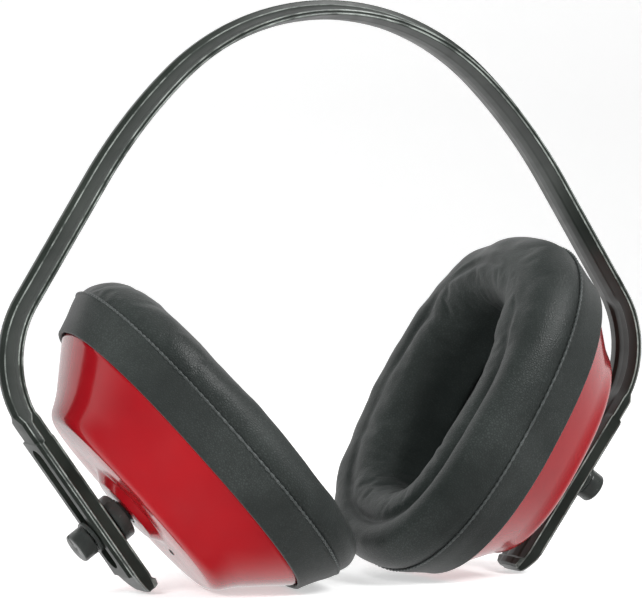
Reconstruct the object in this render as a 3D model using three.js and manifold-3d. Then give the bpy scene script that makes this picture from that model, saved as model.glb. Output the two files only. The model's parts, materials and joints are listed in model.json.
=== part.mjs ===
// Earmuff hearing protector: a moulded headband carrying two padded cups, each on a ball-ended stud.
// Millimetres, +Z up, +X towards the right cup, -Y towards the front.
// The origin is the middle of the crown's inner ridge, where the band sits on a head.
import * as THREE from 'three';
import { mergeVertices } from 'three/addons/utils/BufferGeometryUtils.js';
import Module from 'manifold-3d';

const wasm = await Module();
wasm.setup();

// ---------------------------------------------------------------- driving dimensions

const GAP = 0.3; // left between pieces that touch

// The band's outer line, from the crown down one side. Angles are in degrees below level.
const BAND = {
  crownRadius: 66,
  crownAngle: 43.5,
  armRadius: 135,
  armAngle: 58,
  armLength: 35,
  bendRadius: 30,
  legAngle: 125.5,
  legLength: 52,
};
const BAND_HALF_WIDTH = 7;
const BAND_DEPTH = 5; // outer spine to inner ridge
const RIDGE_HALF_WIDTH = 3.4; // the middle part of the inner face
const POCKET_HALF_WIDTH = 2.6;
const POCKET_DEPTH = 0.9; // shallow pocket in the inner face of the bend
const POCKET_END = 8; // degrees of the bend left plain at each end of the pocket

// Heights up the leg from its tip: its slot, and the levels where its section changes.
const SLOT = { low: 9, high: 46, width: 5.3 };
const STEP_HIGH = 49;
const STEP_LOW = 48.2;
const RIM_END = 6.4;
const TIP_START = 5;
const TIP_END = 1.5;

// A section of the band: half widths of the band and its raised spine, depths of the spine's top
// and foot, and depths of the outer and inner corners of the band's edge.
const ARCH_SECTION = { half: BAND_HALF_WIDTH, spine: 0.8, top: 0, foot: 1.3, edge: 2.6, back: 4 };
const LEG_SECTION = { half: BAND_HALF_WIDTH, spine: 5, top: 0, foot: 1, edge: 1.1, back: 4.6 };
const HEEL_SECTION = { ...LEG_SECTION, top: 1, foot: 1.05 };
const WEDGE_SECTION = { ...HEEL_SECTION, half: 6, spine: 4.2 };
const TIP_SECTION = { half: 4.6, spine: 3, top: 2.2, foot: 2.3, edge: 2.4, back: 4.4 };

// How each cup hangs: its stud's height up the leg, and its turn, tilt and rock on the ball in degrees.
const REST = {
  left: { height: 19.4, turn: -8, tilt: 5, rock: -7 },
  right: { height: 30.7, turn: -4, tilt: -6, rock: 1.5 },
};

// Depths below are measured inwards from the outer face of the leg, along the stud.
const STUD_RADIUS = 2.3;
const BALL_RADIUS = 4;
const BALL_DEPTH = 12.2;
const WASHER = { radius: 4.5, thickness: 1 };
const CAP = { radius: 4, length: 4, edge: 0.9, nickWidth: 0.8, nickDepth: 0.6 };
const CAP_FOOT = -WASHER.thickness - 2 * GAP;
const COLLAR_RADIUS = 6.2;
const COLLAR_TOP = 8.6;

const BOSS = { top: 10.1, topRadius: 4.6, slopeRadius: 8.2, footRadius: 10.5 };
const SOCKET = { radius: BALL_RADIUS + GAP, footRadius: 8, topRadius: 5, wall: 1.2, bevel: 1.5 };
const FACE_DEPTH = 12.2;
const CORNER = { out: 5.2, drop: 4.4, sweep: 53 }; // the dish's rounded edge, sweep in degrees
const RIM_DEPTH = 30.6;
const SHELL_WALL = 2.2;
const SKIRT_LOW = 28.7;
const SKIRT_WALL = 1.3;
const SEAM_DEPTH = 38.7;
const CUSHION_TOP = 48.5;
const COVER_WALL = 1.2;
const PLATE_THICKNESS = 1.7;
const FOAM_LOW = RIM_DEPTH + PLATE_THICKNESS + 2 * GAP;

// Half length and half width of the cup at its main levels.
const FACE_OVAL = [26.5, 18.7];
const RIM_OVAL = [42.4, 32.9];
const SEAM_OVAL = [47.6, 36.3];
const EAR_OVAL = [30, 18];
const EAR_FUNNEL = 4; // how much the ear opening narrows on its way in
const PLATE_MARGIN = 1; // how much further in the back plate reaches
const LINER_OVAL = [35.5, 26];
const LINER = { low: 19, high: 28.5, bevel: 1.5, taper: 10 };
const OVAL_POWER = 2.4; // 2 is an ellipse, more is squarer
const OVAL_SIDES = 36;

// ---------------------------------------------------------------- materials

function material(name, color, roughness, metalness = 0) {
  const made = new THREE.MeshStandardMaterial({ color, roughness, metalness });
  made.name = name;
  return made;
}

const bandPlastic = material('band_plastic', 0x2c2f2e, 0.45);
const shellPlastic = material('shell_plastic', 0xa51620, 0.18);
const pivotPlastic = material('pivot_plastic', 0x262928, 0.5);
const platePlastic = material('plate_plastic', 0x1d1f1f, 0.6);
const leatherette = material('leatherette', 0x34393a, 0.62);
const skirtVinyl = material('skirt_vinyl', 0x303536, 0.7);
const cushionFoam = material('cushion_foam', 0x6d6f6a, 0.95);
const linerFoam = material('liner_foam', 0x25282b, 0.98);

// ---------------------------------------------------------------- solids

// A solid skin over rings of points, closed by flat ends, or joined end to start when looped.
function skin(rings, looped = false) {
  const sides = rings[0].length;
  const positions = rings.flat().flatMap((point) => point.toArray());
  const faces = [];
  const spans = looped ? rings.length : rings.length - 1;
  for (let ring = 0; ring < spans; ring += 1) {
    const here = ring * sides;
    const next = ((ring + 1) % rings.length) * sides;
    for (let side = 0; side < sides; side += 1) {
      const beside = (side + 1) % sides;
      faces.push(here + side, here + beside, next + beside);
      faces.push(here + side, next + beside, next + side);
    }
  }
  if (!looped) {
    addEnd(positions, faces, rings[0], 0, true);
    addEnd(positions, faces, rings.at(-1), (rings.length - 1) * sides, false);
  }
  const geometry = new THREE.BufferGeometry();
  geometry.setAttribute('position', new THREE.Float32BufferAttribute(positions, 3));
  geometry.setIndex(faces);
  return geometry;
}

function addEnd(positions, faces, ring, offset, first) {
  const middle = new THREE.Vector3();
  ring.forEach((point) => middle.addScaledVector(point, 1 / ring.length));
  const centre = positions.length / 3;
  positions.push(...middle.toArray());
  ring.forEach((_, side) => {
    const beside = (side + 1) % ring.length;
    const pair = first ? [beside, side] : [side, beside];
    faces.push(centre, offset + pair[0], offset + pair[1]);
  });
}

function toSolid(geometry) {
  const plain = geometry.clone();
  plain.deleteAttribute('normal');
  plain.deleteAttribute('uv');
  const merged = mergeVertices(plain, 1e-4);
  const triVerts = new Uint32Array(merged.index.array);
  const vertProperties = new Float32Array(merged.attributes.position.array);
  const solid = new wasm.Manifold(new wasm.Mesh({ numProp: 3, vertProperties, triVerts }));
  return solid.volume() < 0 ? fail('a solid is inside out') : solid;
}

function fail(message) {
  throw new Error(message);
}

function toGeometry(solid) {
  const mesh = solid.getMesh();
  const geometry = new THREE.BufferGeometry();
  geometry.setAttribute('position', new THREE.Float32BufferAttribute(mesh.vertProperties, 3));
  geometry.setIndex(new THREE.Uint32BufferAttribute(mesh.triVerts, 1));
  return geometry;
}

// A turned piece: [radius, depth] points spun about the stud's line.
function turned(profile, sides = 24) {
  const points = profile.map(([radius, depth]) => new THREE.Vector2(radius, depth));
  const geometry = new THREE.LatheGeometry(points, sides);
  return geometry.rotateX(Math.PI / 2);
}

// Points [across, up] of an arc from one angle to another, in degrees.
function arc(centre, radius, from, to, count) {
  return Array.from({ length: count + 1 }, (_, i) => {
    const angle = THREE.MathUtils.degToRad(from + ((to - from) * i) / count);
    return [centre[0] + radius * Math.cos(angle), centre[1] + radius * Math.sin(angle)];
  });
}

// ---------------------------------------------------------------- headband

// Stations down the right half of the band: place, direction and length run so far.
function halfPath() {
  const stations = [];
  let x = 0;
  let z = BAND_DEPTH;
  let heading = 0;
  let run = 0;
  const note = () => stations.push({ x, z, heading, run });
  const move = (length) => {
    x += length * Math.cos(heading);
    z -= length * Math.sin(heading);
    run += length;
    note();
  };
  const bend = (radius, toAngle, count) => {
    const turn = (THREE.MathUtils.degToRad(toAngle) - heading) / count;
    for (let i = 0; i < count; i += 1) {
      heading += turn / 2;
      const chord = 2 * radius * Math.sin(turn / 2);
      x += chord * Math.cos(heading);
      z -= chord * Math.sin(heading);
      run += chord;
      heading += turn / 2;
      note();
    }
  };
  note();
  bend(BAND.crownRadius, BAND.crownAngle, 12);
  bend(BAND.armRadius, BAND.armAngle, 5);
  move(BAND.armLength);
  bend(BAND.bendRadius, BAND.legAngle, 12);
  const bendEnd = run;
  const step = STEP_HIGH - STEP_LOW;
  for (const height of [STEP_HIGH, STEP_LOW, RIM_END + step, RIM_END, TIP_START, TIP_END, 0]) {
    move(BAND.legLength - height - (run - bendEnd));
  }
  return stations;
}

// The band's section at a station: each one holds from its own level down to the next.
function sectionAt(station, pathLength) {
  const height = pathLength - station.run + GAP;
  if (height < TIP_END) return TIP_SECTION;
  if (height < TIP_START) return WEDGE_SECTION;
  if (height < RIM_END + 2 * GAP) return HEEL_SECTION;
  return height < STEP_HIGH ? LEG_SECTION : ARCH_SECTION;
}

function pocketAt(station) {
  const bent = THREE.MathUtils.radToDeg(station.heading);
  return bent > BAND.armAngle + POCKET_END && bent < BAND.legAngle - POCKET_END ? POCKET_DEPTH : 0;
}

// The section's outline in width and depth: raised spine, hollow flanks, thin edge, and an inner
// face that rises to a ridge or has a pocket in it.
function sectionOutline({ half, spine, top, foot, edge, back }, pocket) {
  const draft = 0.6;
  const hollow = [(spine + half) / 2 + 0.4, foot + (edge - foot) * 0.72];
  const side = [
    [spine, top],
    [spine + draft, foot],
    hollow,
    [half, edge],
    [half, back],
    [RIDGE_HALF_WIDTH, BAND_DEPTH - 0.35],
    [POCKET_HALF_WIDTH, BAND_DEPTH - 0.15 - pocket],
  ];
  const mirrored = side.map(([y, depth]) => [-y, depth]);
  return [...mirrored, [0, BAND_DEPTH - pocket], ...side.reverse()];
}

function headband() {
  const right = halfPath();
  const pathLength = right.at(-1).run;
  const ring = (station, mirror) => {
    const { x, z, heading } = station;
    const outline = sectionOutline(sectionAt(station, pathLength), pocketAt(station));
    return outline.map(([y, depth]) => {
      const across = x - depth * Math.sin(heading);
      return new THREE.Vector3(mirror * across, y, z - depth * Math.cos(heading));
    });
  };
  const left = right.slice(1).reverse();
  const rings = [...left.map((s) => ring(s, -1)), ...right.map((s) => ring(s, 1))];
  let solid = toSolid(skin(rings));
  for (const side of ['left', 'right']) {
    solid = solid.subtract(toSolid(slotCutter().applyMatrix4(legFrame(side, 0))));
  }
  return toGeometry(solid);
}

function slotCutter() {
  const radius = SLOT.width / 2;
  const shape = new THREE.Shape();
  shape.absarc(SLOT.high - radius, 0, radius, -Math.PI / 2, Math.PI / 2);
  shape.absarc(SLOT.low + radius, 0, radius, Math.PI / 2, (Math.PI * 3) / 2);
  const depth = BAND_DEPTH + 2;
  const cutter = new THREE.ExtrudeGeometry(shape, { depth, bevelEnabled: false, curveSegments: 10 });
  return cutter.translate(0, 0, -1);
}

// ---------------------------------------------------------------- where things hang

// A frame on the outer face of a leg: X up the leg, Z inwards along the stud.
function legFrame(side, height) {
  const tip = halfPath().at(-1);
  const sign = side === 'right' ? 1 : -1;
  const up = new THREE.Vector3(-sign * Math.cos(tip.heading), 0, Math.sin(tip.heading));
  const inward = new THREE.Vector3(-sign * Math.sin(tip.heading), 0, -Math.cos(tip.heading));
  const across = inward.clone().cross(up);
  const frame = new THREE.Matrix4().makeBasis(up, across, inward);
  const place = new THREE.Vector3(sign * tip.x, 0, tip.z).addScaledVector(up, height);
  return frame.setPosition(place);
}

// The cup's frame: the stud's frame, turned, tilted and rocked about the middle of the ball.
function cupFrame(side) {
  const { height, turn, tilt, rock } = REST[side];
  const radians = THREE.MathUtils.degToRad;
  return legFrame(side, height)
    .multiply(new THREE.Matrix4().makeTranslation(0, 0, BALL_DEPTH))
    .multiply(new THREE.Matrix4().makeRotationZ(radians(turn)))
    .multiply(new THREE.Matrix4().makeRotationY(radians(tilt)))
    .multiply(new THREE.Matrix4().makeRotationX(radians(rock)))
    .multiply(new THREE.Matrix4().makeTranslation(0, 0, -BALL_DEPTH));
}

// ---------------------------------------------------------------- pivot

const CAP_FLOOR = 1; // solid end of the knob, over its bore

function pivotStud() {
  const neckAngle = THREE.MathUtils.radToDeg(Math.asin(STUD_RADIUS / BALL_RADIUS));
  const ball = arc([0, BALL_DEPTH], BALL_RADIUS, -90 + neckAngle, 90, 9);
  const start = CAP_FOOT - CAP.length + CAP_FLOOR + GAP;
  const pole = [0, BALL_DEPTH + BALL_RADIUS];
  return turned([[0, start], [STUD_RADIUS, start], ...ball.slice(0, -1), pole]);
}

// A ring round the stud with its outer corners broken.
function studRing(radius, low, high, edge) {
  const bore = STUD_RADIUS + GAP;
  const corners = [[radius - edge, low], [radius, low + edge], [radius, high - edge], [radius - edge, high]];
  return turned([[bore, low], ...corners, [bore, high], [bore, low]]);
}

const swivelCollar = () => studRing(COLLAR_RADIUS, BAND_DEPTH + GAP, COLLAR_TOP, 0.5);
const frictionWasher = () => studRing(WASHER.radius, -GAP - WASHER.thickness, -GAP, 0.2);

// The knob pressed on the outer end of the stud, with a short nick across its rim.
function studCap() {
  const outer = CAP_FOOT - CAP.length;
  const bore = STUD_RADIUS + GAP;
  const boreEnd = outer + CAP_FLOOR;
  const rounded = arc([CAP.radius - CAP.edge, outer + CAP.edge], CAP.edge, -90, 0, 4);
  const hollow = [[bore, CAP_FOOT], [bore, boreEnd], [0, boreEnd]];
  const body = turned([[0, outer], ...rounded, [CAP.radius, CAP_FOOT], ...hollow]);
  const nick = new THREE.BoxGeometry(CAP.radius, CAP.nickWidth, 2 * CAP.nickDepth);
  nick.translate(CAP.radius * 0.8, 0, outer);
  return toGeometry(toSolid(body).subtract(toSolid(nick)));
}

// ---------------------------------------------------------------- cup

// One level of the cup: an oval ring of points at a depth. Power 2 makes it an ellipse.
function level(depth, [long, short], power = OVAL_POWER) {
  return Array.from({ length: OVAL_SIDES }, (_, i) => {
    const angle = (2 * Math.PI * i) / OVAL_SIDES;
    const bulge = (value) => Math.sign(value) * Math.abs(value) ** (2 / power);
    return new THREE.Vector3(long * bulge(Math.cos(angle)), short * bulge(Math.sin(angle)), depth);
  });
}

const inset = ([long, short], by) => [long - by, short - by];
const mix = (from, to, t) => from.map((value, i) => value + (to[i] - value) * t);

// The dish's outside or inside: flat face, rounded corner, sloping wall, short upright rim.
function dish(faceDepth, wall, rimDepth) {
  const face = inset(FACE_OVAL, wall * 0.8);
  const rim = inset(RIM_OVAL, wall);
  const cornerAt = (t) => {
    const angle = THREE.MathUtils.degToRad(CORNER.sweep * t);
    const oval = inset(face, -CORNER.out * Math.sin(angle));
    return { depth: faceDepth + CORNER.drop * (1 - Math.cos(angle)), oval };
  };
  const corner = [0, 0.25, 0.5, 0.75].map(cornerAt);
  const wallTop = cornerAt(1);
  const slope = [0, 0.35, 0.7, 1].map((t) => ({
    depth: wallTop.depth + (SKIRT_LOW - wallTop.depth) * t,
    oval: mix(wallTop.oval, rim, t),
  }));
  const levels = [...corner, ...slope, { depth: rimDepth, oval: inset(rim, -0.2) }];
  return levels.map(({ depth, oval }) => level(depth, oval));
}

function cupShell() {
  const round = (depth, radius) => level(depth, [radius, radius], 2);
  const boss = [
    round(BOSS.top, BOSS.topRadius),
    round(FACE_DEPTH - 0.5, BOSS.slopeRadius),
    round(FACE_DEPTH, BOSS.footRadius),
  ];
  const outside = toSolid(skin([...boss, ...dish(FACE_DEPTH, 0, RIM_DEPTH)]));
  const innerFace = FACE_DEPTH + SHELL_WALL;
  const inside = toSolid(skin(dish(innerFace, SHELL_WALL, RIM_DEPTH + 1)));
  const seat = new THREE.SphereGeometry(SOCKET.radius, 24, 14).translate(0, 0, BALL_DEPTH);
  const socketTop = BALL_DEPTH + SOCKET.radius + SOCKET.wall;
  const socket = skin([
    round(FACE_DEPTH, SOCKET.footRadius),
    round(socketTop - SOCKET.bevel, SOCKET.topRadius + SOCKET.bevel),
    round(socketTop, SOCKET.topRadius),
  ]);
  const dished = outside.subtract(inside).add(toSolid(socket));
  return toGeometry(dished.subtract(toSolid(seat)));
}

function backPlate() {
  const low = RIM_DEPTH + GAP;
  const high = low + PLATE_THICKNESS;
  const hole = inset(EAR_OVAL, EAR_FUNNEL + PLATE_MARGIN);
  return skin([level(low, hole), level(low, RIM_OVAL), level(high, RIM_OVAL), level(high, hole)], true);
}

// A band round the rim: it grips the shell at its lower edge and widens to the cushion's seam.
function cushionSkirt() {
  const bottom = inset(RIM_OVAL, -GAP - 0.2);
  const top = SEAM_DEPTH - GAP;
  const ring = (from, to, t, swell) => level(SKIRT_LOW + (top - SKIRT_LOW) * t, mix(from, to, t ** swell));
  const outer = (t) => ring(inset(bottom, -SKIRT_WALL), SEAM_OVAL, t, 0.9);
  const inner = (t) => ring(bottom, inset(SEAM_OVAL, SKIRT_WALL), t, 1.4);
  return skin([outer(0), outer(0.5), outer(1), inner(1), inner(0.5), inner(0)], true);
}

// The cushion's outline as [inset from the seam's oval, depth], up the outside and over the top.
function cushionOutline(wall) {
  const crown = CUSHION_TOP - wall;
  return [
    [0.1, SEAM_DEPTH],
    [-0.5, SEAM_DEPTH + 3.2],
    [0.6, crown - 3.6],
    [2.6, crown - 1.2],
    [5.6, crown],
    [10.4, crown - 1.5],
  ].map(([from, depth]) => [from + wall, depth]);
}

// The same for the lip and funnel of the ear opening, as [outset from the ear oval, depth].
function lipOutline(wall) {
  const crown = CUSHION_TOP - wall;
  return [
    [3.4, crown - 0.3],
    [1.3, crown - 0.9],
    [-0.2, crown - 3],
    [-2.2, crown - 7],
    [-EAR_FUNNEL, FOAM_LOW],
  ].map(([from, depth]) => [from + wall, depth]);
}

function cushionLevels(wall) {
  const outer = cushionOutline(wall).map(([from, depth]) => level(depth, inset(SEAM_OVAL, from)));
  const lip = lipOutline(wall).map(([from, depth]) => level(depth, inset(EAR_OVAL, -from)));
  return [...outer, ...lip];
}

function cushionCover() {
  return skin([...cushionLevels(0), ...cushionLevels(COVER_WALL).reverse()], true);
}

function foamCore() {
  const levels = cushionLevels(COVER_WALL + 2 * GAP);
  const foot = level(FOAM_LOW, inset(RIM_OVAL, -GAP * 0.5));
  return skin([foot, ...levels], true);
}

// A foam pad lying in the dish, narrower towards the dish's face.
function earLiner() {
  const foot = inset(LINER_OVAL, LINER.taper - 1.6 * LINER.bevel);
  return skin([
    level(LINER.low, inset(LINER_OVAL, LINER.taper)),
    level(LINER.low + LINER.bevel, foot),
    level(LINER.high - LINER.bevel, inset(LINER_OVAL, 0.5)),
    level(LINER.high, LINER_OVAL),
  ]);
}

// ---------------------------------------------------------------- assembly

function facets(geometry) {
  const flat = geometry.index ? geometry.toNonIndexed() : geometry.clone();
  flat.deleteAttribute('normal');
  flat.deleteAttribute('uv');
  const merged = mergeVertices(flat, 1e-4);
  merged.computeVertexNormals();
  return merged;
}

const earmuff = new THREE.Group();
earmuff.name = 'earmuff';

function place(name, geometry, look, frame = new THREE.Matrix4()) {
  const mesh = new THREE.Mesh(facets(geometry).applyMatrix4(frame), look);
  mesh.name = name;
  earmuff.add(mesh);
}

place('headband', headband(), bandPlastic);
for (const side of ['left', 'right']) {
  const stud = legFrame(side, REST[side].height);
  const cup = cupFrame(side);
  place(`${side}_stud_cap`, studCap(), pivotPlastic, stud);
  place(`${side}_friction_washer`, frictionWasher(), pivotPlastic, stud);
  place(`${side}_pivot_stud`, pivotStud(), pivotPlastic, stud);
  place(`${side}_swivel_collar`, swivelCollar(), pivotPlastic, stud);
  place(`${side}_cup_shell`, cupShell(), shellPlastic, cup);
  place(`${side}_back_plate`, backPlate(), platePlastic, cup);
  place(`${side}_cushion_skirt`, cushionSkirt(), skirtVinyl, cup);
  place(`${side}_cushion_cover`, cushionCover(), leatherette, cup);
  place(`${side}_cushion_foam`, foamCore(), cushionFoam, cup);
  place(`${side}_ear_liner`, earLiner(), linerFoam, cup);
}

export default earmuff;
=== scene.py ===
"""Looks of the earmuff hearing protector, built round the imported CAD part."""

import json
import math

import bpy
from mathutils import Matrix, Vector, noise


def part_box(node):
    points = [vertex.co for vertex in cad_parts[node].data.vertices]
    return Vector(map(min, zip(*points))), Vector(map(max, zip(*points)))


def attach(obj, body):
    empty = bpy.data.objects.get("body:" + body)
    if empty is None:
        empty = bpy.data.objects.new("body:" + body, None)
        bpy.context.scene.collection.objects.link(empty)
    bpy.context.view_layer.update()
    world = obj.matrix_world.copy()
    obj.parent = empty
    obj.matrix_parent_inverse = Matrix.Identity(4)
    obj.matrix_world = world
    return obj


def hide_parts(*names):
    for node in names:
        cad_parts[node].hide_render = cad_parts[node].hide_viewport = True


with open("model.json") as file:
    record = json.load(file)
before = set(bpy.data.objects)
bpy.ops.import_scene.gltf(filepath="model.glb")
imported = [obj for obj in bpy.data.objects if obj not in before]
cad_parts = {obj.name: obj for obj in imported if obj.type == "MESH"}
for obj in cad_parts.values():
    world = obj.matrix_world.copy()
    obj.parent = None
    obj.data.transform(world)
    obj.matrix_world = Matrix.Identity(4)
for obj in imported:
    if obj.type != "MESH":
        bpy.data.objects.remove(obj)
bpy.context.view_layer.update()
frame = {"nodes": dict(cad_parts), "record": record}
record = frame["record"]
MM = 0.001
SIDES = ("left", "right")
JOINTS = {joint["name"]: joint for joint in record["behaviour"]["joints"]}
MOUNTS = {mount["name"]: mount for mount in record["mounts"]}

# ---------------------------------------------------------------- driving sizes, in millimetres

# The band's outer line from the crown down one side; angles are degrees below level.
CROWN = dict(radius=66, angle=43.5)
ARM = dict(radius=135, angle=58, straight=35)
BEND = dict(radius=30, angle=125.5)
LEG_LENGTH = 52
BAND_DEPTH = 5
SLOT = dict(low=9, high=46, width=5.3)
STEP_LOW = 48.2
RIM_END = 6.4
TIP_START = 5

STUD_RADIUS = 2.3
STUD_PLAY = 0.3
BALL_DEPTH = 12.2
CAP = dict(foot=-1.6, length=4.0, radius=4.0)
WASHER = dict(low=-1.3, high=-0.3, radius=4.5)
COLLAR = dict(low=5.3, high=8.6, radius=6.2)

BOSS_TOP = 10.1
SOCKET_MOUTH = 3.9
SEAT_RADIUS = 4.3
SEAT_WALL = 1.2
FACE_DEPTH = 12.2
RIM_DEPTH = 30.6
SKIRT_LOW = 28.7
SEAM_DEPTH = 38.7
CUSHION_TOP = 48.5
FOAM_LOW = 32.9
FACE_OVAL = (26.5, 18.7)
RIM_OVAL = (42.4, 32.9)
SEAM_OVAL = (47.6, 36.3)
EAR_OVAL = (30.0, 18.0)
OVAL_POWER = 2.4


# ---------------------------------------------------------------- frames

def frame_matrix(x_axis, z_axis, origin):
    """A matrix with these X and Z directions, standing at origin."""
    z = Vector(z_axis).normalized()
    y = z.cross(Vector(x_axis)).normalized()
    x = y.cross(z)
    matrix = Matrix((x, y, z)).transposed().to_4x4()
    return Matrix.Translation(origin) @ matrix


def leg_frame(side):
    """Origin on the leg's outer face at the stud, X up the leg, Z inwards along the stud."""
    turn = JOINTS[side + "_cup_turn"]
    inward = Vector(turn["axis"])
    up = JOINTS[side + "_height_slide"]["axis"]
    return frame_matrix(up, inward, Vector(turn["pos_m"]) - inward * BALL_DEPTH * MM)


def cup_frame(side):
    """The same for the cup, as it is tilted and rocked on the ball at rest."""
    tilt = JOINTS[side + "_cup_tilt"]
    inward = -Vector(MOUNTS[side + "_cup_face"]["axis"]).normalized()
    long_way = Vector(tilt["axis"]).cross(inward)
    return frame_matrix(long_way, inward, Vector(tilt["pos_m"]) - inward * BALL_DEPTH * MM)


# ---------------------------------------------------------------- mesh helpers

def skin(name, rings, look, looped=False, caps=(True, True), smooth_angle=40, accent=None):
    """A mesh over rings of points, in millimetres, closed round each ring.

    accent is (look, columns): the strips of faces along those ring points take that look instead.
    """
    count = len(rings[0])
    points = [tuple(point) for ring in rings for point in ring]
    faces = []
    for row in range(len(rings) if looped else len(rings) - 1):
        here, there = row * count, (row + 1) % len(rings) * count
        for i in range(count):
            j = (i + 1) % count
            faces.append((here + i, here + j, there + j, there + i))
    if not looped and caps[0]:
        faces.append(tuple(reversed(range(count))))
    if not looped and caps[1]:
        last = (len(rings) - 1) * count
        faces.append(tuple(range(last, last + count)))
    mesh = bpy.data.meshes.new(name)
    mesh.from_pydata([Vector(p) * MM for p in points], [], faces)
    mesh.materials.append(look)
    if accent:
        mesh.materials.append(accent[0])
        for face in mesh.polygons:
            face.material_index = int(face.index % count in accent[1] and len(face.vertices) == 4)
    piece = bpy.data.objects.new(name, mesh)
    bpy.context.scene.collection.objects.link(piece)
    smooth(piece, smooth_angle)
    return piece


def smooth(piece, angle):
    """Smooth shading, with an edge kept sharp where its faces meet at more than the angle."""
    mesh = piece.data
    mesh.shade_smooth()
    mesh.set_sharp_from_angle(angle=math.radians(angle))


def apply_modifiers(piece):
    """Turns the piece's modifiers into plain mesh."""
    depsgraph = bpy.context.evaluated_depsgraph_get()
    made = bpy.data.meshes.new_from_object(piece.evaluated_get(depsgraph))
    piece.modifiers.clear()
    piece.data = made


def put(piece, matrix, body, replaced=()):
    """Moves a finished piece to its place, ties it to its body and hides the CAD nodes it replaces."""
    piece.data.transform(matrix)
    piece.data.update()
    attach(piece, body)
    if replaced:
        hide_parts(*replaced)
    return piece


def curve_through(points, per_span):
    """Catmull-Rom points through rows of numbers."""
    out = []
    last = len(points) - 1
    for i in range(last):
        before, a = points[max(i - 1, 0)], points[i]
        b, after = points[i + 1], points[min(i + 2, last)]
        for step in range(per_span):
            t = step / per_span
            out.append(tuple(
                0.5 * (2 * q + (r - p) * t + (2 * p - 5 * q + 4 * r - s) * t * t
                       + (3 * q - p - 3 * r + s) * t ** 3)
                for p, q, r, s in zip(before, a, b, after)
            ))
    out.append(tuple(points[-1]))
    return out


def rounded(rows, radius, steps=3, closed=True):
    """Rows of numbers joined by straight lines, with each corner cut to a small curve."""
    out = []
    last = len(rows) - 1
    for i, row in enumerate(rows):
        corner = Vector(row)
        if not closed and i in (0, last):
            out.append(corner)
            continue
        back = Vector(rows[i - 1]) - corner
        on = Vector(rows[(i + 1) % len(rows)]) - corner
        reach = min(radius, back.length * 0.45, on.length * 0.45)
        start, end = corner + back.normalized() * reach, corner + on.normalized() * reach
        for step in range(steps + 1):
            t = step / steps
            out.append(start * (1 - t) ** 2 + corner * 2 * t * (1 - t) + end * t * t)
    return out


def ramp_between(value, low, high):
    """0 below low, 1 above high, and a smooth rise between them."""
    t = min(max((value - low) / (high - low), 0), 1)
    return t * t * (3 - 2 * t)


# ---------------------------------------------------------------- materials

class Look:
    """One procedural material, and short ways to add its nodes."""

    def __init__(self, name, **values):
        self.material = bpy.data.materials.new(name)
        self.material.use_nodes = True
        self.tree = self.material.node_tree
        self.shader = self.tree.nodes["Principled BSDF"]
        for key, value in values.items():
            self.shader.inputs[key.replace("_", " ")].default_value = value
        place = self.node("ShaderNodeTexCoord")
        self.place = place.outputs["Object"]

    def node(self, kind, **settings):
        made = self.tree.nodes.new(kind)
        for key, value in settings.items():
            setattr(made, key, value)
        return made

    def link(self, source, target):
        self.tree.links.new(source, target)

    def noise(self, scale, detail=3.0, roughness=0.5, stretch=None):
        made = self.node("ShaderNodeTexNoise")
        made.inputs["Scale"].default_value = scale
        made.inputs["Detail"].default_value = detail
        made.inputs["Roughness"].default_value = roughness
        self.link(self.stretched(stretch), made.inputs["Vector"])
        return made.outputs["Fac"]

    def cells(self, scale, feature="DISTANCE_TO_EDGE", stretch=None):
        made = self.node("ShaderNodeTexVoronoi", feature=feature)
        made.inputs["Scale"].default_value = scale
        self.link(self.stretched(stretch), made.inputs["Vector"])
        return made.outputs["Distance"]

    def stretched(self, stretch):
        if stretch is None:
            return self.place
        mapping = self.node("ShaderNodeMapping")
        mapping.inputs["Scale"].default_value = stretch
        self.link(self.place, mapping.inputs["Vector"])
        return mapping.outputs["Vector"]

    def remap(self, source, low, high, to_low, to_high):
        made = self.node("ShaderNodeMapRange")
        ends = {"From Min": low, "From Max": high, "To Min": to_low, "To Max": to_high}
        for key, value in ends.items():
            made.inputs[key].default_value = value
        self.link(source, made.inputs["Value"])
        return made.outputs["Result"]

    def maths(self, operation, first, second):
        made = self.node("ShaderNodeMath", operation=operation)
        for socket, value in zip(made.inputs, (first, second)):
            if isinstance(value, (int, float)):
                socket.default_value = value
            else:
                self.link(value, socket)
        return made.outputs["Value"]

    def colour(self, factor, dark, light):
        made = self.node("ShaderNodeMix", data_type="RGBA")
        made.inputs["A"].default_value = (*dark, 1)
        made.inputs["B"].default_value = (*light, 1)
        self.link(factor, made.inputs["Factor"])
        self.link(made.outputs["Result"], self.shader.inputs["Base Color"])

    def roughness(self, source):
        self.link(source, self.shader.inputs["Roughness"])

    def bump(self, heights):
        """heights is a list of (height socket, strength, distance in metres), coarse to fine."""
        previous = None
        for height, strength, distance in heights:
            made = self.node("ShaderNodeBump")
            made.inputs["Strength"].default_value = strength
            made.inputs["Distance"].default_value = distance
            self.link(height, made.inputs["Height"])
            if previous:
                self.link(previous, made.inputs["Normal"])
            previous = made.outputs["Normal"]
        self.link(previous, self.shader.inputs["Normal"])


def band_look():
    """Moulded black plastic, satin, with faint flow marks and a fine grain."""
    look = Look("band_plastic", Specular_IOR_Level=0.5)
    blotch = look.noise(55, 4)
    flow = look.noise(260, 3, stretch=(1, 0.35, 1))
    look.colour(look.remap(blotch, 0.35, 0.7, 0, 1), (0.012, 0.016, 0.013), (0.025, 0.031, 0.026))
    look.roughness(look.remap(flow, 0.3, 0.7, 0.33, 0.44))
    fine = look.noise(2600, 2)
    look.bump([(flow, 0.12, 0.0002), (fine, 0.10, 0.00005)])
    return look.material


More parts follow.
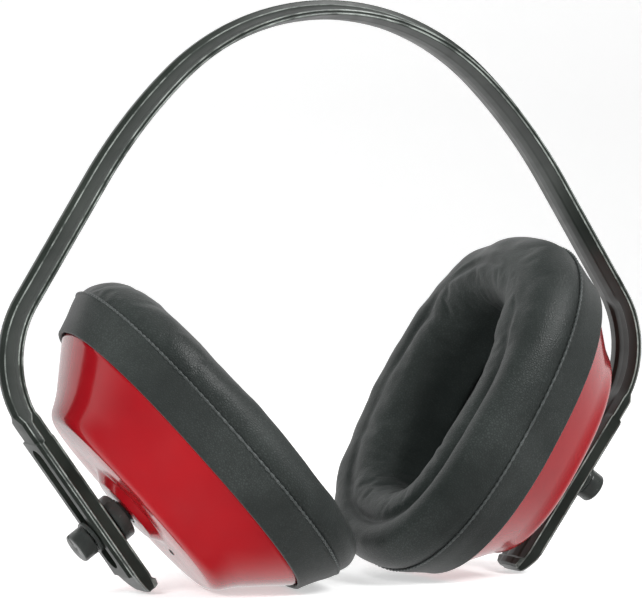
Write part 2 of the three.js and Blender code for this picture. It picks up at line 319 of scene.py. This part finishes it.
def edge_highlight_look():
    """The band's moulded edge lines, with a painted highlight: coloured lighter than the rest, and
    smoother.
    """
    look = Look("band_edge_highlights", Specular_IOR_Level=0.7)
    # Painted highlight: noise patches blend the edge colour from dark to light grey, in place of light
    # caught on the corners.
    highlight_patches = look.noise(180, 4, 0.65)
    look.colour(look.remap(highlight_patches, 0.38, 0.62, 0, 1), (0.05, 0.058, 0.052), (0.26, 0.285, 0.265))
    look.roughness(look.remap(highlight_patches, 0.35, 0.65, 0.35, 0.2))
    return look.material


def shell_look():
    """Glossy red moulded plastic with a slight ripple in its reflections and a trace of dust."""
    look = Look("shell_plastic", Specular_IOR_Level=0.5, Coat_Weight=0.15, Coat_Roughness=0.04)
    depth = look.noise(32, 3)
    look.colour(look.remap(depth, 0.35, 0.68, 0, 1), (0.24, 0.004, 0.008), (0.31, 0.008, 0.012))
    smear = look.noise(90, 5, 0.6)
    look.roughness(look.remap(smear, 0.35, 0.75, 0.13, 0.24))
    ripple = look.noise(45, 1)
    dust = look.noise(1500, 3)
    look.bump([(ripple, 0.03, 0.0004), (dust, 0.015, 0.00004)])
    return look.material


def pivot_look():
    """Plain black nylon, a little greyer and duller than the band."""
    look = Look("pivot_plastic", Specular_IOR_Level=0.55)
    cloud = look.noise(240, 4)
    look.colour(look.remap(cloud, 0.3, 0.7, 0, 1), (0.026, 0.029, 0.028), (0.042, 0.047, 0.044))
    look.roughness(look.remap(cloud, 0.2, 0.8, 0.22, 0.3))
    look.bump([(look.noise(3000, 2), 0.15, 0.00005)])
    return look.material


def plate_look():
    """Plain black moulded plastic with a matt grain."""
    look = Look("plate_plastic", Specular_IOR_Level=0.4)
    grain = look.noise(900, 3)
    look.colour(grain, (0.010, 0.011, 0.011), (0.020, 0.021, 0.021))
    look.roughness(look.remap(grain, 0.3, 0.7, 0.55, 0.7))
    look.bump([(grain, 0.2, 0.0001)])
    return look.material


def grained_vinyl(name, dark, light, cell, depth, rough):
    """Matt leatherette: pebbled cells, fine creases between them, and worn lighter patches."""
    look = Look(name, Specular_IOR_Level=0.42, Sheen_Weight=0.06, Sheen_Roughness=0.5)
    pebbles = look.remap(look.cells(cell), 0, 0.35, 0, 1)
    creases = look.noise(cell * 0.35, 4, 0.6)
    wear = look.noise(45, 4, 0.55)
    worn = look.remap(wear, 0.35, 0.7, 0.25, 1)
    raised = look.remap(pebbles, 0, 1, 0.3, 1)
    look.colour(look.maths("MULTIPLY", worn, raised), dark, light)
    look.roughness(look.remap(wear, 0.3, 0.7, rough - 0.07, rough + 0.06))
    look.bump([(creases, 0.3, depth * 1.6), (pebbles, 0.45, depth)])
    return look.material


def foam_look(name, dark, light, cell):
    """Open-cell foam: dark pores of two sizes in a dull, crumbly surface."""
    look = Look(name, Specular_IOR_Level=0.15, Roughness=0.97)
    pores = look.remap(look.cells(cell, "F1"), 0, 0.75, 1, 0)
    crumb = look.noise(cell * 1.7, 4, 0.7)
    look.colour(look.maths("MULTIPLY", pores, crumb), light, dark)
    look.bump([(crumb, 0.6, 0.0004), (look.cells(cell, "F1"), 0.8, 0.0005)])
    return look.material


LOOKS = {
    "band_plastic": band_look(),
    "shell_plastic": shell_look(),
    "pivot_plastic": pivot_look(),
    "plate_plastic": plate_look(),
    "leatherette": grained_vinyl(
        "leatherette", dark=(0.010, 0.013, 0.012), light=(0.038, 0.046, 0.043),
        cell=1500, depth=0.0001, rough=0.52),
    "skirt_vinyl": grained_vinyl(
        "skirt_vinyl", dark=(0.012, 0.015, 0.014), light=(0.042, 0.050, 0.047),
        cell=1700, depth=0.0001, rough=0.55),
    # The weld bead is the cushion's vinyl, coloured lighter grey as a painted highlight along the seam.
    "seam_weld_highlight": grained_vinyl(
        "seam_weld_highlight", dark=(0.03, 0.035, 0.034), light=(0.10, 0.11, 0.108),
        cell=1700, depth=0.00003, rough=0.42),
    "cushion_foam": foam_look(
        "cushion_foam", dark=(0.05, 0.05, 0.045), light=(0.2, 0.2, 0.18), cell=900),
    # Partly painted light: the pad's own dark foam colour is made lighter and bluish, in place of
    # studio light reflected into the ear opening.
    "liner_foam": foam_look(
        "liner_foam", dark=(0.012, 0.015, 0.017), light=(0.055, 0.064, 0.074), cell=700),
}


# ---------------------------------------------------------------- headband

def band_path(step):
    """(x, z, heading, height above the leg's tip) about every step millimetres, crown to tip."""
    stations = []
    x, z, heading, run = 0.0, BAND_DEPTH, 0.0, 0.0

    def go(length, turn, pieces):
        nonlocal x, z, heading, run
        stations.append([x, z, heading, run])
        for _ in range(pieces):
            heading += turn / pieces / 2
            x += length / pieces * math.cos(heading)
            z -= length / pieces * math.sin(heading)
            run += length / pieces
            heading += turn / pieces / 2
            stations.append([x, z, heading, run])
        stations.pop()

    def arc(radius, angle):
        turn = math.radians(angle) - heading
        go(radius * turn, turn, math.ceil(radius * turn / step))

    arc(CROWN["radius"], CROWN["angle"])
    arc(ARM["radius"], ARM["angle"])
    go(ARM["straight"], 0, math.ceil(ARM["straight"] / step))
    arc(BEND["radius"], BEND["angle"])
    leg_start = run
    above = 0
    marks = [STEP_LOW + 0.9, STEP_LOW + 0.3, STEP_LOW, STEP_LOW - 0.3, 47, 40, 30, 20, 12]
    marks += [RIM_END + 0.5, RIM_END + 0.1, RIM_END, RIM_END - 0.4, TIP_START, 3.8, 3.1, 2.6]
    marks += [2.3, 1.4, 0.5, 0.15, 0]
    for height in marks:
        length = LEG_LENGTH - height - above
        go(length, 0, 1)
        above += length
    stations.append([x, z, heading, run])
    total = leg_start + LEG_LENGTH
    return [(sx, sz, sh, max(total - sr, 0)) for sx, sz, sh, sr in stations]


ARCH_SECTION = dict(half=7, spine=0.8, top=0, shoulder=1.3, edge=2.6, back=4, pocket=0, lip=0)
BLOCK_SECTION = dict(half=7, spine=3.6, top=0.25, shoulder=1.3, edge=1.7, back=4.4, pocket=0, lip=0)
LEG_SECTION = dict(half=7, spine=5, top=0, shoulder=1, edge=1.1, back=4.6, pocket=0, lip=0)
FOOT_SECTION = dict(half=7, spine=5, top=1, shoulder=1.05, edge=1.1, back=4.6, pocket=0, lip=0)
TIP_SECTION = dict(half=4.6, spine=3, top=2.2, shoulder=2.3, edge=2.4, back=4.4, pocket=0, lip=0)
BLOCK_LENGTH = 6.5
CORNER_POINTS = 4
EDGE_LINES = ((1, 1), (4, 5), (8, 9))
TIP_LIP = 0.8


def blended(first, second, t):
    """A section part of the way from one to another."""
    return {key: first[key] + (second[key] - first[key]) * t for key in first}


def band_section(heading, height):
    """The band's section at a height above the leg's tip, or further up at a heading."""
    if height <= TIP_START:
        lip = TIP_LIP * (ramp_between(height, 0, 0.5) - ramp_between(height, 2.3, 3.1))
        return dict(blended(TIP_SECTION, FOOT_SECTION, (height / TIP_START) ** 0.6), lip=lip)
    if height <= RIM_END:
        return FOOT_SECTION
    if height <= STEP_LOW:
        return LEG_SECTION
    if height <= STEP_LOW + BLOCK_LENGTH:
        return BLOCK_SECTION
    bent = math.degrees(heading)
    inside = ramp_between(bent, ARM["angle"] + 5, ARM["angle"] + 9)
    inside *= 1 - ramp_between(bent, BEND["angle"] - 9, BEND["angle"] - 5)
    return dict(ARCH_SECTION, pocket=0.9 * inside)


def band_outline(half, spine, top, shoulder, edge, back, pocket, lip):
    """The section in width and depth: raised spine, hollow flanks, thin edge, ridged inner face."""
    flank = half - spine
    hollow = shoulder + (edge - shoulder) * 0.9
    bead = min(0.4, (back - edge) * 0.3)
    groove = half - 0.25
    side = [
        (spine, top),
        (spine + min(0.5, flank * 0.25), shoulder),
        (spine + flank * 0.62, hollow),
        (half - 0.3, edge),
        (half, edge + 0.12),
        (half, edge + bead),
        (groove, edge + bead + 0.1),
        (groove, back - bead - 0.1),
        (half, back - bead),
        (half, back - 0.1 + lip),
        (half - 0.25, back + 0.1 + lip),
        (3.4, BAND_DEPTH - 0.35 + lip),
        (2.6, BAND_DEPTH - 0.15 - pocket + lip),
    ]
    mirrored = [(-y, depth) for y, depth in side]
    return mirrored + [(0, BAND_DEPTH - pocket + lip)] + side[::-1]


def slot_cutter(side):
    """A tall stadium through one leg, to cut its slot."""
    radius = SLOT["width"] / 2
    ring = []
    for centre, start in ((SLOT["high"] - radius, -90), (SLOT["low"] + radius, 90)):
        for i in range(17):
            angle = math.radians(start + 180 * i / 16)
            ring.append((centre + radius * math.cos(angle), radius * math.sin(angle)))
    rings = [[(x, y, depth) for x, y in ring] for depth in (-2, BAND_DEPTH + 2)]
    return skin(side + "_slot_cutter", rings, LOOKS["band_plastic"])


def headband():
    """The whole moulded strip, tip to tip, with a slot cut through each leg."""
    right = band_path(2.0)

    def ring(station, mirror):
        x, z, heading, height = station
        outline = rounded(band_outline(**band_section(heading, height)), 0.22)
        return [
            (mirror * (x - depth * math.sin(heading)), y, z - depth * math.cos(heading))
            for y, depth in outline
        ]

    rings = [ring(s, -1) for s in reversed(right[1:])] + [ring(s, 1) for s in right]
    last_corner = len(rings[0]) // CORNER_POINTS - 1
    edges = set()
    for first, last in EDGE_LINES:
        for start, end in ((first, last), (last_corner - last, last_corner - first)):
            edges.update(range(start * CORNER_POINTS, (end + 1) * CORNER_POINTS - 1))
    # The edge lines take the painted highlight look.
    accent = (edge_highlight_look(), edges)
    piece = skin("band_strip", rings, LOOKS["band_plastic"], smooth_angle=28, accent=accent)
    tip_x, tip_z, heading, _ = right[-1]
    cutters = []
    for side, sign in zip(SIDES, (-1, 1)):
        up = (-sign * math.cos(heading), 0, math.sin(heading))
        inward = (-sign * math.sin(heading), 0, -math.cos(heading))
        cutter = slot_cutter(side)
        cutter.data.transform(frame_matrix(up, inward, Vector((sign * tip_x, 0, tip_z)) * MM))
        cut = piece.modifiers.new("slot", "BOOLEAN")
        cut.object, cut.operation, cut.solver = cutter, "DIFFERENCE", "EXACT"
        cutters.append(cutter)
    apply_modifiers(piece)
    for cutter in cutters:
        bpy.data.objects.remove(cutter)
    smooth(piece, 28)
    put(piece, Matrix.Identity(4), "band", ["headband"])


# ---------------------------------------------------------------- pivot

def turned(name, profile, look, sides=64, edge=0.25):
    """A piece turned about the stud's line from a closed (radius, depth) profile with soft corners."""
    outline = rounded(profile, edge)
    rings = []
    for radius, depth in outline:
        radius = max(radius, 0.001)
        angles = [2 * math.pi * i / sides for i in range(sides)]
        rings.append([(radius * math.cos(a), radius * math.sin(a), depth) for a in angles])
    return skin(name, rings, look, looped=True)


def ring_profile(low, high, radius, bore):
    """The closed profile of a plain ring."""
    return [(bore, low), (radius, low), (radius, high), (bore, high)]


def pivot(side):
    """The knob, the washer behind it and the collar on the leg's inner side."""
    place = leg_frame(side)
    look = LOOKS["pivot_plastic"]
    bore = STUD_RADIUS + STUD_PLAY
    slider, slot = side + "_slider", "pivot_plastic"
    outer = CAP["foot"] - CAP["length"]
    cap = turned(side + "_cap_knob", [
        (0, outer + 0.25), (2.2, outer), (CAP["radius"] - 0.3, outer), (CAP["radius"], outer + 0.4),
        (CAP["radius"], CAP["foot"]), (bore, CAP["foot"]), (bore, outer + 1), (0, outer + 1),
    ], look, edge=0.35)
    nick = skin(side + "_nick_cutter", [
        [(x, y, depth) for x, y in ((1.2, -0.35), (4.4, -0.35), (4.4, 0.35), (1.2, 0.35))]
        for depth in (outer - 1, outer + 0.6)
    ], look)
    cut = cap.modifiers.new("nick", "BOOLEAN")
    cut.object, cut.operation, cut.solver = nick, "DIFFERENCE", "EXACT"
    apply_modifiers(cap)
    bpy.data.objects.remove(nick)
    smooth(cap, 40)
    put(cap, place, slider, [side + "_stud_cap"])
    washer = turned(side + "_thrust_washer", ring_profile(bore=bore, **WASHER), look, edge=0.2)
    put(washer, place, slider, [side + "_friction_washer"])
    collar = turned(side + "_collar_drum", ring_profile(bore=bore, **COLLAR), look, edge=0.5)
    put(collar, place, side + "_collar", [side + "_swivel_collar"])


# ---------------------------------------------------------------- cup

def oval(long_half, short_half, depth, sides=144, power=OVAL_POWER):
    """A ring of points round an oval. Power 2 makes it an ellipse, and more makes it squarer."""
    points = []
    for i in range(sides):
        angle = 2 * math.pi * i / sides
        c, s = math.cos(angle), math.sin(angle)
        points.append((
            long_half * math.copysign(abs(c) ** (2 / power), c),
            short_half * math.copysign(abs(s) ** (2 / power), s),
            depth,
        ))
    return points


def inset(pair, by):
    """An oval's half length and half width, both made smaller."""
    return (pair[0] - by, pair[1] - by)


def ball_seat():
    """Levels of the round seat that holds the stud's ball, from behind the ball to the boss's mouth."""
    behind = math.radians(89)
    front = -math.acos(SOCKET_MOUTH / SEAT_RADIUS)
    steps = 12
    levels = []
    for step in range(steps + 1):
        angle = behind + (front - behind) * step / steps
        radius = SEAT_RADIUS * math.cos(angle)
        levels.append((radius, radius, BALL_DEPTH + SEAT_RADIUS * math.sin(angle), 2))
    return levels


def cup_shell(side):
    """The glossy dish: ball seat, boss, flat face, sloping wall, rim and inside.

    Each level is (half length, half width, depth, squareness of its oval).
    """
    *seat, seat_end = ball_seat()
    seat_back = BALL_DEPTH + SEAT_RADIUS + SEAT_WALL
    boss = [
        seat_end, (SOCKET_MOUTH, SOCKET_MOUTH, BOSS_TOP, 2), (5.4, 5.4, BOSS_TOP, 2),
        (9.4, 8.6, BOSS_TOP + 0.25, 2), (12.0, 11.0, FACE_DEPTH - 0.2, 2),
        (12.8, 11.8, FACE_DEPTH, 2), (14.4, 12.7, FACE_DEPTH, 2.05),
    ]
    face = [
        (17.0, 13.5, FACE_DEPTH, 2.15),
        (*inset(FACE_OVAL, 4), FACE_DEPTH, OVAL_POWER),
        (*inset(FACE_OVAL, -3.2), FACE_DEPTH + 0.3, OVAL_POWER),
        (*inset(FACE_OVAL, -6), FACE_DEPTH + 5.2, OVAL_POWER),
        (*RIM_OVAL, SKIRT_LOW, OVAL_POWER),
        (*RIM_OVAL, RIM_DEPTH, OVAL_POWER),
    ]
    inside = [
        (*inset(RIM_OVAL, 2.1), RIM_DEPTH, OVAL_POWER),
        (*inset(RIM_OVAL, 2.4), SKIRT_LOW, OVAL_POWER),
        (*inset(FACE_OVAL, -3), FACE_DEPTH + 4.8, OVAL_POWER),
        (*inset(FACE_OVAL, 2), FACE_DEPTH + 2.2, OVAL_POWER),
        (8, 8, FACE_DEPTH + 2.2, 2), (6.5, 6.5, seat_back - 1.5, 2), (5, 5, seat_back, 2),
        (0.4, 0.4, seat_back, 2),
    ]
    rings = [oval(*halves, depth, power=power) for *halves, depth, power in seat]
    for part, radius, steps in ((boss, 0.5, 4), (face, 5.5, 10), (inside, 1.5, 5)):
        for *halves, depth, power in rounded(part, radius, steps, closed=False):
            rings.append(oval(*halves, depth, power=power))
    piece = skin(side + "_cup_dish", rings, LOOKS["shell_plastic"], smooth_angle=50)
    put(piece, cup_frame(side), side + "_cup", [side + "_cup_shell"])


def gate_mark(side):
    """The small round moulding mark on the face, beside the boss."""
    profile = [(1.0, 0.2), (1.0, -0.02), (0.9, -0.1), (0.75, -0.1), (0.62, 0.02), (0.0005, 0.05)]
    rings = [oval(radius, radius, depth, sides=24, power=2) for radius, depth in profile]
    piece = skin(side + "_gate_mark", rings, LOOKS["pivot_plastic"], caps=(False, False))
    place = Matrix.Translation(Vector((-16, -0.5, FACE_DEPTH - 0.02)) * MM)
    put(piece, cup_frame(side) @ place, side + "_cup")


def skirt(side):
    """The matt band round the rim, with a turned-in lower hem and a slightly uneven surface."""
    rim = inset(RIM_OVAL, -0.5)
    wall = 1.3
    top = SEAM_DEPTH - 0.3
    profile = [
        (*inset(rim, 0.1), SKIRT_LOW + 0.5), (*inset(rim, -0.25), SKIRT_LOW + 0.02),
        (*inset(rim, -wall * 0.7), SKIRT_LOW + 0.15), (*inset(rim, -wall * 0.95), SKIRT_LOW + 1.0),
        (45.6, 35.3, SKIRT_LOW + 4.6), (46.9, 36.0, SKIRT_LOW + 7.4),
        (*inset(SEAM_OVAL, 0), top - 0.4), (*inset(SEAM_OVAL, 0.2), top),
        (*inset(SEAM_OVAL, wall), top), (*inset(SEAM_OVAL, wall + 1.2), top - 4.5),
        (*inset(rim, 0), SKIRT_LOW + 2.4),
    ]
    rings = []
    for long_half, short_half, depth in curve_through(profile, 5):
        ring = []
        for x, y, z in oval(long_half, short_half, depth, sides=180):
            wave = noise.noise((x * 0.09, y * 0.09, z * 0.12 + (7 if side == "left" else 0)))
            swell = 1 + 0.004 * wave
            ring.append((x * swell, y * swell, z))
        rings.append(ring)
    piece = skin(side + "_skirt_band", rings, LOOKS["skirt_vinyl"], looped=True, smooth_angle=60)
    put(piece, cup_frame(side), side + "_cup", [side + "_cushion_skirt"])


def weld_bead(side):
    """The thin welded seam between the skirt and the cushion, pressed into short dashes and coloured
    lighter grey than the vinyl as a painted highlight.
    """
    sides, dashes = 960, 160
    rings = []
    for i in range(8):
        angle = 2 * math.pi * i / 8
        ring = []
        for j, (x, y, z) in enumerate(oval(1, 1, SEAM_DEPTH - 0.1, sides=sides)):
            size = 0.36 + 0.1 * math.cos(2 * math.pi * dashes * j / sides)
            long_half, short_half = inset(SEAM_OVAL, -size * math.cos(angle))
            ring.append((x * long_half, y * short_half, z + size * 0.85 * math.sin(angle)))
        rings.append(ring)
    piece = skin(side + "_seam_bead", rings[::-1], LOOKS["seam_weld_highlight"], looped=True, smooth_angle=80)
    put(piece, cup_frame(side), side + "_cup")


# The cushion's surface before it is filled: from its seam, over the outer lobe, the groove stitched
# down to the foam, the inner lip, and down the funnel of the ear opening.
GROOVE_ROW = 7
LIP_ROW = 10
CUSHION_PROFILE = [
    (*inset(SEAM_OVAL, 0.5), SEAM_DEPTH),
    (*inset(SEAM_OVAL, -0.1), SEAM_DEPTH + 1.0),
    (*inset(SEAM_OVAL, -0.3), SEAM_DEPTH + 3.4),
    (*inset(SEAM_OVAL, 0.9), CUSHION_TOP - 3.6),
    (*inset(SEAM_OVAL, 3.2), CUSHION_TOP - 1.3),
    (*inset(SEAM_OVAL, 6.2), CUSHION_TOP - 0.5),
    (*inset(SEAM_OVAL, 8.4), CUSHION_TOP - 1.3),
    (*inset(SEAM_OVAL, 10.2), CUSHION_TOP - 2.7),
    (*inset(SEAM_OVAL, 12.2), CUSHION_TOP - 1.3),
    (*inset(EAR_OVAL, -3.2), CUSHION_TOP - 0.5),
    (*inset(EAR_OVAL, -1.2), CUSHION_TOP - 1.0),
    (*inset(EAR_OVAL, 0.4), CUSHION_TOP - 3.2),
    (*inset(EAR_OVAL, 2.4), CUSHION_TOP - 7.2),
    (*inset(EAR_OVAL, 4.2), FOAM_LOW),
]
PUFF = {"left": -0.6, "right": 2.4}
SAG = 1.2
CLOTH_SCALE = 10
CLOTH_FRAMES = 20
CLOTH_REACH = 1.8
ROWS_PER_SPAN = 3


def groove_share(row):
    """1 on the groove's own row, fading to 0 either side of it."""
    return max(0.0, 1 - abs(row / ROWS_PER_SPAN - GROOVE_ROW) / 1.8)


def looseness(x, y):
    """How far the cover has pulled out of the groove: fully at the top, partly along one side."""
    return max(ramp_between(x, 0, 30), 0.7 * ramp_between(y, 0, 20))


def hold_at(row, x, y):
    """How firmly a point of the cushion is held: at its seam, its inner end and its groove."""
    at = row / ROWS_PER_SPAN
    if at <= 0.4 or at >= len(CUSHION_PROFILE) - 1.7:
        return 1.0
    if abs(at - GROOVE_ROW) < 0.4:
        return 0.75 * (1 - looseness(x, y))
    return 0.0


def fill_with_air(piece, sides):
    """A cloth run that swells the cover and lets the extra cloth at its lip fold into puckers.

    No point ends more than CLOTH_REACH millimetres from where it began.
    """
    held = piece.vertex_groups.new(name="held")
    gathered = piece.vertex_groups.new(name="gathered")
    for vertex in piece.data.vertices:
        row = vertex.index // sides
        x, y, _ = vertex.co / MM
        gather = max(0.0, 1 - abs(row / ROWS_PER_SPAN - LIP_ROW) / 2.6)
        held.add([vertex.index], hold_at(row, x, y), "REPLACE")
        gathered.add([vertex.index], gather, "REPLACE")
    piece.data.transform(Matrix.Scale(CLOTH_SCALE, 4))
    cloth = piece.modifiers.new("cloth", "CLOTH")
    settings = cloth.settings
    settings.quality = 5
    settings.mass = 0.1
    settings.bending_stiffness = 0.3
    settings.vertex_group_mass = "held"
    settings.vertex_group_shrink = "gathered"
    settings.shrink_min, settings.shrink_max = 0, -0.17
    settings.use_pressure = True
    settings.uniform_pressure_force = 8
    settings.effector_weights.gravity = 0
    cloth.collision_settings.use_collision = False
    cloth.point_cache.frame_start, cloth.point_cache.frame_end = 1, CLOTH_FRAMES
    for step in range(1, CLOTH_FRAMES + 1):
        bpy.context.scene.frame_set(step)
    before = [vertex.co.copy() for vertex in piece.data.vertices]
    apply_modifiers(piece)
    bpy.context.scene.frame_set(1)
    reach = CLOTH_REACH * MM * CLOTH_SCALE
    for vertex, start in zip(piece.data.vertices, before):
        move = vertex.co - start
        if move.length > reach:
            vertex.co = start + move.normalized() * reach
    piece.data.transform(Matrix.Scale(1 / CLOTH_SCALE, 4))
    piece.vertex_groups.clear()


def cushion_cover(side):
    """The soft leatherette ring, a little uneven, gathered into puckers round its lip."""
    sides = 200
    seed = 3.7 if side == "left" else 11.2
    rings = []
    for row, (long_half, short_half, depth) in enumerate(curve_through(CUSHION_PROFILE, ROWS_PER_SPAN)):
        ring = []
        for x, y, z in oval(long_half, short_half, depth, sides=sides):
            soft = noise.noise((x * 0.06 + seed, y * 0.06, z * 0.08))
            crease = noise.noise((x * 0.35, y * 0.35, seed))
            fold = noise.noise((row * 0.28 + seed, x * 0.03, y * 0.04))
            lift = ramp_between(z, SEAM_DEPTH, CUSHION_TOP - 1)
            loose = looseness(x, y)
            drape = noise.noise((x * 0.13, y * 0.13, seed + 5))
            swell = PUFF[side] + 0.4 * soft + 0.12 * crease + 0.8 * fold
            swell += loose * (1.9 * groove_share(row) + 0.7 * drape)
            ring.append((x - SAG * lift, y, z + lift * swell))
        rings.append(ring)
    look = LOOKS["leatherette"]
    piece = skin(side + "_ear_cushion", rings, look, caps=(False, False), smooth_angle=80)
    fill_with_air(piece, sides)
    wall = piece.modifiers.new("wall", "SOLIDIFY")
    wall.thickness, wall.offset = 0.9 * MM, -1
    apply_modifiers(piece)
    finer = piece.modifiers.new("finer", "SUBSURF")
    finer.levels = finer.render_levels = 1
    apply_modifiers(piece)
    smooth(piece, 80)
    put(piece, cup_frame(side), side + "_cup", [side + "_cushion_cover"])


def foam_core(side):
    """The ring of foam inside the cover, a little smaller than it all round."""
    top = CUSHION_TOP + PUFF[side]
    profile = [
        (*inset(RIM_OVAL, 1), FOAM_LOW + 0.3), (*inset(SEAM_OVAL, 3.2), SEAM_DEPTH),
        (*inset(SEAM_OVAL, 3.4), top - 5.5), (*inset(SEAM_OVAL, 6.5), top - 4),
        (*inset(SEAM_OVAL, 10.5), top - 5), (*inset(EAR_OVAL, -5.6), top - 4.4),
        (*inset(EAR_OVAL, -3.6), top - 6), (*inset(EAR_OVAL, 1), FOAM_LOW + 0.3),
    ]
    rings = [oval(a, b, depth) for a, b, depth in rounded(profile, 1.2)]
    piece = skin(side + "_foam_ring", rings, LOOKS["cushion_foam"], looped=True)
    put(piece, cup_frame(side), side + "_cup", [side + "_cushion_foam"])


def ear_liner(side):
    """The foam pad in the cup: a crowned, slightly lumpy oval sheet filling the dish."""
    profile = [
        (25, 16, 19), (29, 20, 21.5), (35.6, 26, 27.2), (35.2, 25.6, 28.4), (32, 22, 28.7),
        (22, 14, 28.2), (12, 8, 27.9), (0.6, 0.4, 27.8),
    ]
    rings = []
    for long_half, short_half, depth in curve_through(profile, 6):
        ring = []
        for x, y, z in oval(max(long_half, 0.3), max(short_half, 0.2), depth, sides=96):
            lump = noise.noise((x * 0.16, y * 0.16, 2.0)) * 0.45 if depth > 27 else 0
            ring.append((x, y, z + lump))
        rings.append(ring)
    piece = skin(side + "_foam_pad", rings, LOOKS["liner_foam"], smooth_angle=60)
    put(piece, cup_frame(side), side + "_cup", [side + "_ear_liner"])


def plain_pieces(side):
    """CAD pieces that keep their shape and only take a look."""
    looks = {"_pivot_stud": "pivot_plastic", "_back_plate": "plate_plastic"}
    for ending, name in looks.items():
        node = frame["nodes"][side + ending]
        node.data.materials[0] = LOOKS[name]


# ---------------------------------------------------------------- stage

def floor_look():
    """White paper that glows a little, so that it meets the backdrop."""
    look = Look("floor_paper", Roughness=0.9, Specular_IOR_Level=0.2, Emission_Strength=0.5)
    look.shader.inputs["Emission Color"].default_value = (1, 1, 1, 1)
    look.colour(look.noise(3, 2), (0.86, 0.86, 0.86), (0.9, 0.9, 0.9))
    return look.material


def stage(low):
    """A plain pale floor that curves up behind the object."""
    half, rise = 2.5, 1.6
    profile = [(-2.5, 0), (0.9, 0), (1.15, 0.03), (1.4, 0.16), (1.55, 0.4), (1.6, 0.7), (1.6, rise)]
    points = [(x, y, low + z) for y, z in profile for x in (-half, half)]
    faces = [(2 * i, 2 * i + 1, 2 * i + 3, 2 * i + 2) for i in range(len(profile) - 1)]
    mesh = bpy.data.meshes.new("studio_floor")
    mesh.from_pydata(points, [], faces)
    mesh.materials.append(floor_look())
    mesh.shade_smooth()
    floor = bpy.data.objects.new("studio_floor", mesh)
    floor.visible_glossy = False
    bpy.context.scene.collection.objects.link(floor)


def soft_light(name, place, target, size, power, reflected=True):
    data = bpy.data.lights.new(name, "AREA")
    data.shape, data.size, data.energy = "DISK", size, power
    light = bpy.data.objects.new(name, data)
    light.location = place
    light.visible_glossy = reflected
    light.rotation_euler = (Vector(target) - Vector(place)).to_track_quat("-Z", "Y").to_euler()
    bpy.context.scene.collection.objects.link(light)


def lights(centre):
    """A world that is bright behind the object and dark in front of it, and three soft lights."""
    world = bpy.data.worlds.new("studio")
    world.use_nodes = True
    tree = world.node_tree
    background = tree.nodes["Background"]
    background.inputs["Color"].default_value = (1, 1, 1, 1)
    way = tree.nodes.new("ShaderNodeTexCoord")
    split = tree.nodes.new("ShaderNodeSeparateXYZ")
    fade = tree.nodes.new("ShaderNodeMapRange")
    fade.interpolation_type = "SMOOTHSTEP"
    for key, value in (("From Min", -0.15), ("From Max", 0.5), ("To Min", 0.04), ("To Max", 1.0)):
        fade.inputs[key].default_value = value
    tree.links.new(way.outputs["Generated"], split.inputs["Vector"])
    tree.links.new(split.outputs["Y"], fade.inputs["Value"])
    tree.links.new(fade.outputs["Result"], background.inputs["Strength"])
    bpy.context.scene.world = world
    soft_light("key", centre + Vector((0.55, -0.85, 0.85)), centre, 0.5, 12.5)
    soft_light("hollows", centre + Vector((-0.9, -0.5, 0.75)), centre, 0.5, 9, reflected=False)
    soft_light("fill", centre + Vector((-0.75, -1.1, 0.15)), centre, 1.1, 9, reflected=False)


def camera(centre):
    """The photo's view: from the left of the front, almost level, at the photo's distance."""
    azimuth, elevation, roll = (math.radians(a) for a in (-25, 1.5, -0.3))
    distance = 0.9
    data = bpy.data.cameras.new("photo_view")
    data.sensor_width, data.lens = 36, 197.2
    data.shift_x, data.shift_y = -0.0155, -0.019
    eye = bpy.data.objects.new("photo_view", data)
    towards = Vector((
        math.sin(azimuth) * math.cos(elevation),
        -math.cos(azimuth) * math.cos(elevation),
        math.sin(elevation),
    ))
    eye.location = centre + towards * distance
    aim = (-towards).to_track_quat("-Z", "Y").to_matrix().to_4x4()
    turned_view = aim @ Matrix.Rotation(roll, 4, "Z")
    eye.rotation_euler = turned_view.to_euler()
    bpy.context.scene.collection.objects.link(eye)
    bpy.context.scene.camera = eye


# ---------------------------------------------------------------- build

headband()
for cup_side in SIDES:
    pivot(cup_side)
    cup_shell(cup_side)
    gate_mark(cup_side)
    skirt(cup_side)
    weld_bead(cup_side)
    cushion_cover(cup_side)
    foam_core(cup_side)
    ear_liner(cup_side)
    plain_pieces(cup_side)

band_low, band_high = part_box("headband")
centre = Vector((0, 0, (band_low.z + band_high.z) / 2))
stage(band_low.z - 0.0005)
lights(centre)
bpy.context.scene.view_settings.view_transform = "Standard"
camera(Vector((0, 0, -0.0685)))
